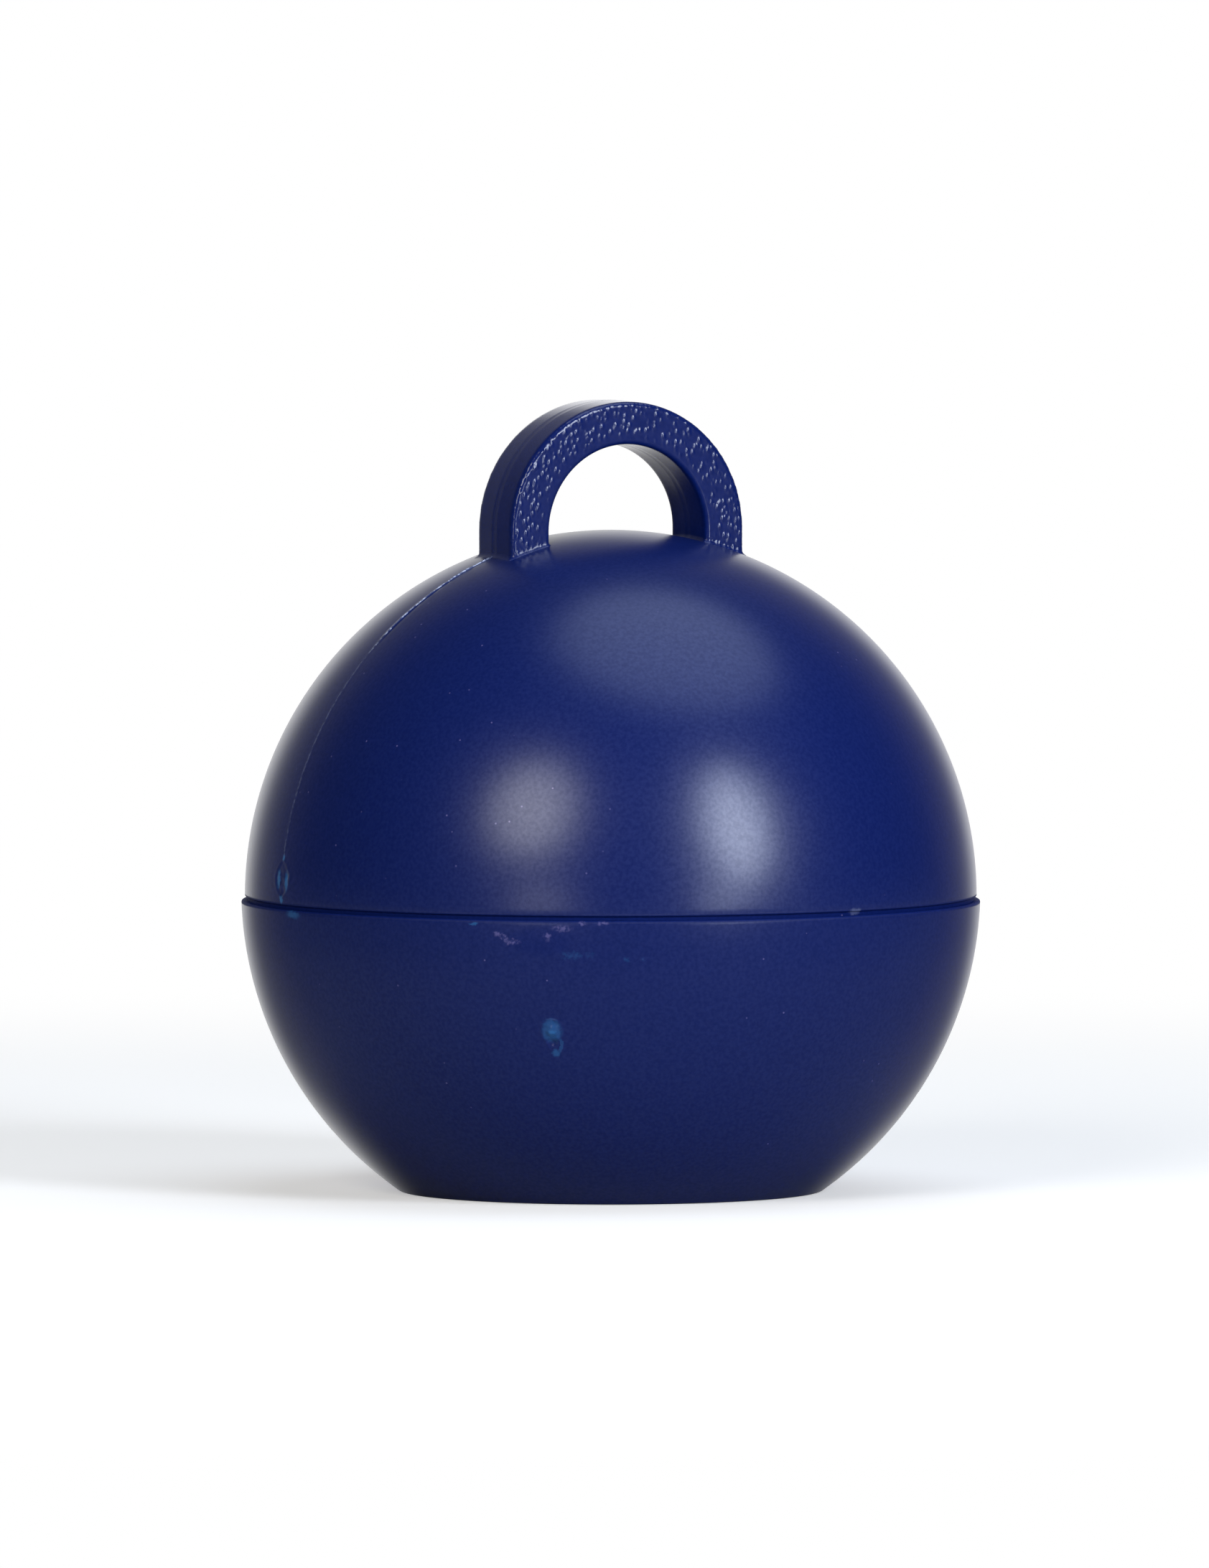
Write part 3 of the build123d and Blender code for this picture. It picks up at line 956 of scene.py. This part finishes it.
def cut_steel():
    """Mild steel bar, turned and sawn to length: bare grey with fine rings."""
    material, tree, place = new_material("cut_steel")
    settings = {"wave_type": "RINGS", "rings_direction": "Z", "Scale": 0.5 / RING_SPACING, "Distortion": 0.4}
    rings = add_node(tree, "TexWave", settings, {"Vector": place}).outputs["Fac"]
    bump = add_node(tree, "Bump", {"Strength": 1.0, "Distance": RING_HEIGHT}, {"Height": rings})
    shader = add_node(tree, "BsdfPrincipled", STEEL, {"Normal": bump.outputs["Normal"]})
    add_node(tree, "OutputMaterial", links={"Surface": shader.outputs["BSDF"]})
    return material


# Stage

FLOOR_SIZE = 8000 * MM
FLOOR_DROP = 0.02 * MM
SHADOW_REACH = 70 * MM
WHITE_REACH = 180 * MM
LAMP_AIM = 20 * MM
ROOM_LEVEL = 0.045
GLOW_TURN = math.radians(1)
GLOW_STRETCH = 1.15  # of the glow's width over its height
GLOW_START = 32 * MM  # in front of the weight, where the floor's glow fans out from
WIDE_GLOW = (0.5, 0.95, ROOM_LEVEL, 0.27)  # cosines of the angle from straight behind, then levels there
CORE_GLOW = (0.885, 0.985, 0.0, 1.2)
FLOOR_BLEND = (-6 * MM, 6 * MM)  # along the view, from the floor in front to the floor behind
PAPER_LIFT = 0.4
WHITE = linear_colour("#FFFFFF")

# Lamps: degrees to the right of the camera and up, then distance, width and height in mm, then watts
LAMPS = (
    ("Key lamp", "#FFFFFF", -27, 28.5, 600, 255, 290, 1.3),
    ("Low left lamp", "#FFFFFF", -21.5, 0.5, 600, 200, 70, 0.16),
    ("Low right lamp", "#E4EEFF", 34, 0.5, 600, 120, 70, 0.22),
    ("Strip lamp", "#E4EEFF", 42, 22, 600, 190, 350, 2.6),
    ("Top lamp", "#D6E6FF", 95, 77, 700, 640, 640, 1.9),
)


def pointing(azimuth, rise):
    """The direction that is turned from the loop's front face to the right and raised above the floor."""
    return Vector((math.sin(azimuth) * math.cos(rise), -math.cos(azimuth) * math.cos(rise), math.sin(rise)))


def back_glow(tree, direction, azimuth):
    """How bright the surroundings are in a direction: a bright patch behind the weight in a dim room."""
    turn = (0, 0, azimuth + GLOW_TURN)
    settings = {"vector_type": "TEXTURE", "Rotation": turn, "Scale": (GLOW_STRETCH, 1, 1)}
    aligned = add_node(tree, "Mapping", settings, {"Vector": direction}).outputs["Vector"]
    behind = axes_of(tree, vector_sum(tree, "NORMALIZE", aligned)["Vector"])["Y"]
    wide = ranged(tree, behind, *WIDE_GLOW)
    core = ranged(tree, behind, *CORE_GLOW)
    return combined(tree, "ADD", [wide, core])


def paper_floor(azimuth):
    """White paper sweep, not glossy: to the camera white paper with the weight's shadow on it and plain white
    further off; to other rays plain grey, darker in reflections, and glowing behind the weight in
    reflections.
    """
    material, tree, place = new_material("white_paper")
    far = ranged(tree, vector_sum(tree, "LENGTH", place)["Value"], SHADOW_REACH, WHITE_REACH)
    start = pointing(azimuth, 0) * GLOW_START
    offset = vector_sum(tree, "SUBTRACT", place, start)["Vector"]
    glow = back_glow(tree, vector_sum(tree, "NORMALIZE", offset)["Vector"], azimuth)
    path = add_node(tree, "LightPath")
    camera = path.outputs["Is Camera Ray"]
    mirrored = combined(tree, "MAXIMUM", [path.outputs["Is Glossy Ray"], path.outputs["Is Transmission Ray"]])
    along = vector_sum(tree, "DOT_PRODUCT", place, -start.normalized())["Value"]
    behind = ranged(tree, along, *FLOOR_BLEND)
    lit = ranged(tree, glow, ROOM_LEVEL, 4 * ROOM_LEVEL)
    glowing = combined(tree, "MULTIPLY", [mirrored, behind, lit])
    white_share = combined(tree, "MAXIMUM", [combined(tree, "MULTIPLY", [camera, far]), glowing])
    level = add_node(tree, "Mix", {"data_type": "FLOAT", 3: 1.0}, {0: camera, 2: glow}).outputs[0]
    # To light that bounces off it the floor is a light grey, and to reflections a darker grey, unlike the
    # white paper that the camera sees
    settings = {"data_type": "RGBA", 6: linear_colour("#C8C8C8"), 7: linear_colour("#949494")}
    grey = add_node(tree, "Mix", settings, {0: mirrored}).outputs[2]
    grey_floor = add_node(tree, "BsdfDiffuse", links={"Color": grey}).outputs["BSDF"]
    paper = add_node(tree, "BsdfDiffuse", {"Color": linear_colour("#F4F0E8")}).outputs["BSDF"]
    lift = add_node(tree, "Emission", {"Color": WHITE, "Strength": PAPER_LIFT}).outputs["Emission"]
    white = add_node(tree, "Emission", {"Color": WHITE}, {"Strength": level}).outputs["Emission"]
    lifted = add_node(tree, "AddShader", links={0: paper, 1: lift}).outputs["Shader"]
    near = add_node(tree, "MixShader", links={0: camera, 1: grey_floor, 2: lifted}).outputs["Shader"]
    mixed = add_node(tree, "MixShader", links={0: white_share, 1: near, 2: white})
    add_node(tree, "OutputMaterial", links={"Surface": mixed.outputs["Shader"]})
    return material


def add_lamp(name, colour, toward, distance, width, height, watts):
    """A soft lamp that faces the ball."""
    data = bpy.data.lights.new(name, type="AREA")
    data.shape = "ELLIPSE"
    data.size = width
    data.size_y = height
    data.energy = watts
    data.color = linear_colour(colour)[:3]
    lamp = bpy.data.objects.new(name, data)
    lamp.location = Vector((0, 0, LAMP_AIM)) + toward * distance
    lamp.rotation_euler = (-toward).to_track_quat("-Z", "Y").to_euler()
    lamp.visible_camera = False
    bpy.context.scene.collection.objects.link(lamp)


def white_room(azimuth):
    """Surroundings that are white where the camera sees them, bright behind the weight and dim all round."""
    world = bpy.data.worlds.new("White room")
    world.use_nodes = True
    tree = world.node_tree
    tree.nodes.clear()
    glow = back_glow(tree, add_node(tree, "TexCoord").outputs["Generated"], azimuth)
    camera = add_node(tree, "LightPath").outputs["Is Camera Ray"]
    level = add_node(tree, "Mix", {"data_type": "FLOAT", 3: 1.0}, {0: camera, 2: glow}).outputs[0]
    room = add_node(tree, "Background", {"Color": WHITE}, {"Strength": level})
    add_node(tree, "OutputWorld", links={"Surface": room.outputs["Background"]})
    return world


class WEIGHT_OT_stage(bpy.types.Operator):
    """Sets up the floor, the lamps, the surroundings and the camera"""

    bl_idname = "weight.stage"
    bl_label = "Stage"

    def execute(self, context):
        scene = context.scene
        settings = scene.weight_stage
        azimuth = settings.azimuth
        scene.view_settings.view_transform = "Standard"
        scene.world = white_room(azimuth)
        deselect()
        bpy.ops.mesh.primitive_plane_add(size=FLOOR_SIZE, location=(0, 0, -FLOOR_DROP))
        floor = context.active_object
        floor.name = "paper_floor"
        floor.data.materials.append(paper_floor(azimuth))

        for name, colour, aside, rise, distance, width, height, watts in LAMPS:
            toward = pointing(azimuth + math.radians(aside), math.radians(rise))
            add_lamp(name, colour, toward, distance * MM, width * MM, height * MM, watts)

        towards = pointing(azimuth, settings.elevation)
        right = Vector((math.cos(azimuth), math.sin(azimuth), 0))
        aim = Vector((0, 0, settings.aim_height)) + right * settings.aim_side
        bpy.ops.object.camera_add(location=aim + towards * settings.distance)
        camera = context.active_object
        camera.name = "Camera"
        camera.rotation_euler = (-towards).to_track_quat("-Z", "Y").to_euler()
        camera.data.lens = camera.data.sensor_width * settings.distance / (PHOTO_HEIGHT * PHOTO_SCALE)
        camera.data.clip_end = 2 * FLOOR_SIZE
        scene.camera = camera
        return {"FINISHED"}


# Add-on


class WEIGHT_PT_sidebar(bpy.types.Panel):
    """Lists the pieces and their sizes"""

    bl_idname = "WEIGHT_PT_sidebar"
    bl_label = "Balloon Weight"
    bl_space_type = "VIEW_3D"
    bl_region_type = "UI"
    bl_category = "Balloon Weight"

    def draw(self, context):
        for operator in OPERATORS:
            self.layout.operator(operator.bl_idname)
        for pointer, group in GROUPS.items():
            box = self.layout.box()
            for name in group.__annotations__:
                box.prop(getattr(context.scene, pointer), name)


GROUPS = {
    "weight_ball": BallSizes,
    "weight_loop": LoopSizes,
    "weight_colours": PlasticColours,
    "weight_stage": StageSettings,
}
OPERATORS = (WEIGHT_OT_upper_dome, WEIGHT_OT_lower_cup, WEIGHT_OT_ballast_slug, WEIGHT_OT_stage)
CLASSES = (*GROUPS.values(), *OPERATORS, WEIGHT_PT_sidebar)


def register():
    for cls in CLASSES:
        bpy.utils.register_class(cls)
    for pointer, group in GROUPS.items():
        setattr(bpy.types.Scene, pointer, PointerProperty(type=group))


def unregister():
    for pointer in GROUPS:
        delattr(bpy.types.Scene, pointer)
    for cls in reversed(CLASSES):
        bpy.utils.unregister_class(cls)


def main():
    register()
    bpy.ops.weight.upper_dome()
    bpy.ops.weight.lower_cup()
    bpy.ops.weight.ballast_slug()
    bpy.ops.weight.stage()


if __name__ == "__main__":
    main()
